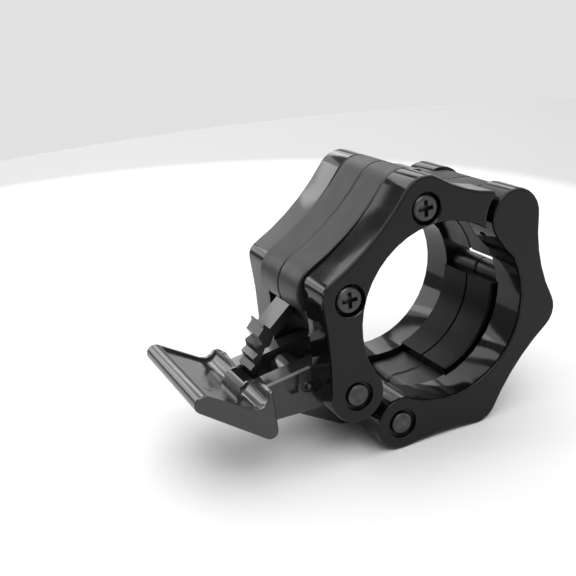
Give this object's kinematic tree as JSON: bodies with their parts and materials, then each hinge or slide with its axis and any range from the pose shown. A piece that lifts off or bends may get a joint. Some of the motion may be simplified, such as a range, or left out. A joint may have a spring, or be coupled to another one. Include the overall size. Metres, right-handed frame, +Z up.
{
  "type": "barbell collar",
  "caption": "Black plastic clamp collar for a barbell sleeve: two hinged jaws round a bore, closed by a toggle lever with a link and a toothed release latch.",
  "frame": {"origin": "centre of the closed bore, halfway along its width", "axes": "+Y along the bore from front to back, +Z up, the lever on the -X side"},
  "size_m": [0.1142, 0.0508, 0.0788],
  "materials": {
    "gloss_black": "moulded gloss",
    "satin_black": "fine satin grain",
    "pad_rubber": "smooth rubber",
    "black_steel": "black oxide"
  },
  "bodies": {
    "left_jaw": {"left_front_plate": "gloss_black", "left_rear_plate": "gloss_black", "left_middle_front": "satin_black", "left_middle_rear": "satin_black", "left_pad": "pad_rubber", "left_screw_lower": "black_steel", "left_screw_upper": "black_steel", "hinge_pin": "black_steel", "lever_pin": "black_steel", "latch_pin": "black_steel", "latch_spring": "black_steel"},
    "right_jaw": {"right_front_plate": "gloss_black", "right_rear_plate": "gloss_black", "right_middle_front": "satin_black", "right_middle_rear": "satin_black", "right_pad": "pad_rubber", "right_screw_side": "black_steel", "right_screw_foot": "black_steel", "link_pin": "black_steel"},
    "lever": {"lever": "gloss_black", "toggle_pin": "black_steel"},
    "link": {"link": "gloss_black"},
    "latch": {"release_latch": "gloss_black"}
  },
  "joints": [
    {"name": "lever_pivot", "type": "hinge", "parent": "left_jaw", "child": "lever", "pos_m": [-0.02922, 0, -0.01777], "axis": [0, -1, 0], "range_deg": [-43.5, 22]},
    {"name": "jaw_hinge", "type": "hinge", "parent": "left_jaw", "child": "right_jaw", "pos_m": [0.02561, 0, 0.02266], "axis": [0, -1, 0], "range_deg": [-1.38, 0.7]},
    {"name": "link_pivot", "type": "hinge", "parent": "right_jaw", "child": "link", "pos_m": [-0.01588, 0, -0.0306], "axis": [0, -1, 0], "range_deg": [-13.48, 6.82]},
    {"name": "latch_pivot", "type": "hinge", "parent": "left_jaw", "child": "latch", "pos_m": [-0.03279, 0, 0.00578], "axis": [0, -1, 0], "range_deg": [0, 9], "stiffness_Nm_per_rad": 0.12, "springref_deg": -6.88}
  ],
  "couplings": [
    {"joint": "jaw_hinge", "follows": "lever_pivot", "ratio": 0.03176},
    {"joint": "link_pivot", "follows": "lever_pivot", "ratio": 0.31}
  ]
}
